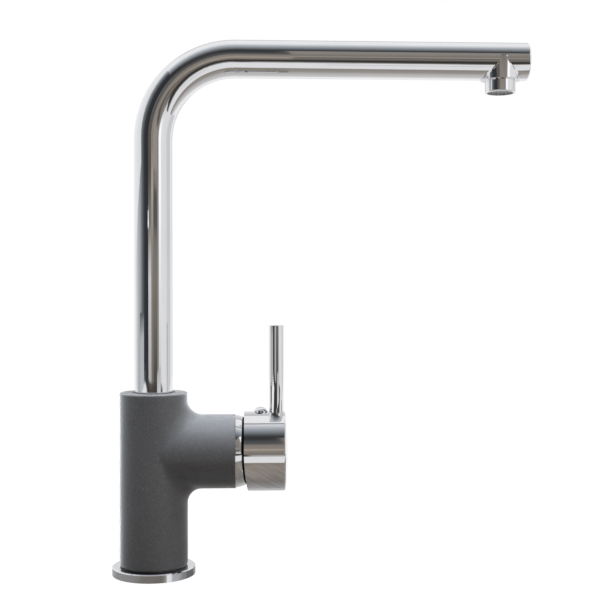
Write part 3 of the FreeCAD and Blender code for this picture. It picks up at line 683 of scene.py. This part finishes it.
def mirrored_line(turn):
    """Line on the table that the ring's side mirrors to the eye, at one turn round its rim."""
    rim = math.radians(turn) + ring_bearing
    heading = rim + math.radians(turn)
    height = table_height + 2 * layer_gap
    start = Vector((cad_high.y * math.sin(rim), -cad_high.y * math.cos(rim), height))
    return start, start + sheen_reach * Vector((math.sin(heading), -math.cos(heading), 0.0))


sheen_stops = (
    # Turn round the rim in degrees, and the tone there.
    (-84, grey(0.44)), (-62, grey(0.31)), (-40, grey(0.29, 0.02)), (-16, grey(0.19, 0.08)),
    (10, grey(0.17, 0.11)), (16, grey(0.36, 0.04)), (18, grey(0.95)), (22, grey(0.90)),
    (26, grey(0.50, -0.03)), (42, grey(0.29, -0.01)), (52, grey(0.16, -0.02)),
    (68, grey(0.15, -0.02)), (84, grey(0.40)),
)
sheen_board = bpy.data.meshes.new("table_sheen")
sheen_corners = [corner for turn, tone in sheen_stops for corner in mirrored_line(turn)]
sheen_board.from_pydata(sheen_corners, [], [
    (corner, corner + 1, corner + 3, corner + 2) for corner in range(0, len(sheen_corners) - 2, 2)
])
sheen_tone = sheen_board.color_attributes.new("tone", "FLOAT_COLOR", "POINT")
for index, corner in enumerate(sheen_tone.data):
    corner.color = (*sheen_stops[index // 2][1], 1.0)
table_sheen = bpy.data.objects.new("table_sheen", sheen_board)
bpy.context.collection.objects.link(table_sheen)
sheen_finish, place = start_finish("table_sheen")
end_glow(place, place.add("Attribute", {"attribute_name": "tone"}, {}, "Color"))
sheen_board.materials.append(sheen_finish)
keep_in_gloss(table_sheen)

level_card("corner_floor", table_height, left_x, table_left, room_front, -1.15, [
    (room_front, grey(0.04, -0.05)), (-1.15, grey(0.04, -0.05)),
])
upright_card("low_screen", (-0.05, -0.60), (0.20, -0.60), 0.0, 0.05, "X", [
    (-0.05, grey(0.05)), (0.057, grey(0.07)), (0.066, grey(0.42, 0.03)), (0.20, grey(0.48)),
])
upright_card("side_screen", (0.142, -0.30), (0.334, -0.30), 0.080, 0.112, "Z", [
    (0.080, grey(0.80)), (0.112, grey(0.55)),
])


# Lamps: a wide soft box overhead, a smaller one high at the back and a tall one on the front
# right. The gloss shows the room instead of them.
def soft_box(name, place, aim, width, height, colour, power):
    """Square-cornered area lamp that looks at a point."""
    lamp = bpy.data.lights.new(name, "AREA")
    lamp.shape = "RECTANGLE"
    lamp.size = width
    lamp.size_y = height
    lamp.color = colour
    lamp.energy = power
    holder = bpy.data.objects.new(name, lamp)
    holder.location = place
    holder.rotation_euler = (Vector(aim) - Vector(place)).to_track_quat("-Z", "Y").to_euler()
    holder.visible_glossy = False
    bpy.context.collection.objects.link(holder)


cool, warm = (0.87, 0.935, 1.0), (1.0, 0.98, 0.96)
soft_box("overhead_box", (0.03, 0.02, 0.80), (0.03, 0.02, 0.0), 0.9, 0.5, cool, power=28.0)
soft_box("rear_box", (0.0, 1.20, 1.30), (0.03, 0.0, 0.10), 1.2, 0.6, cool, power=16.0)
soft_box("right_box", (1.10, -0.95, 0.75), (0.02, 0.0, 0.15), 0.6, 1.2, warm, power=8.5)


# Camera: at the photograph's angle, almost level and a little to the right of the column.
# It looks slightly down, and slightly to the right.
image_size = 615
focal_pixels = 1102.18
look_down, look_right = 0.0141, 0.0471
camera_data = bpy.data.cameras.new("camera")
camera_data.sensor_width = 36.0
camera_data.lens = focal_pixels / image_size * camera_data.sensor_width
camera = bpy.data.objects.new("camera", camera_data)
camera.location = (0.068485, -0.744712, 0.189467)
camera.rotation_euler = (math.radians(90.0) - look_down, 0.0, -look_right)
bpy.context.collection.objects.link(camera)
bpy.context.scene.camera = camera
bpy.context.scene.view_settings.view_transform = "Standard"
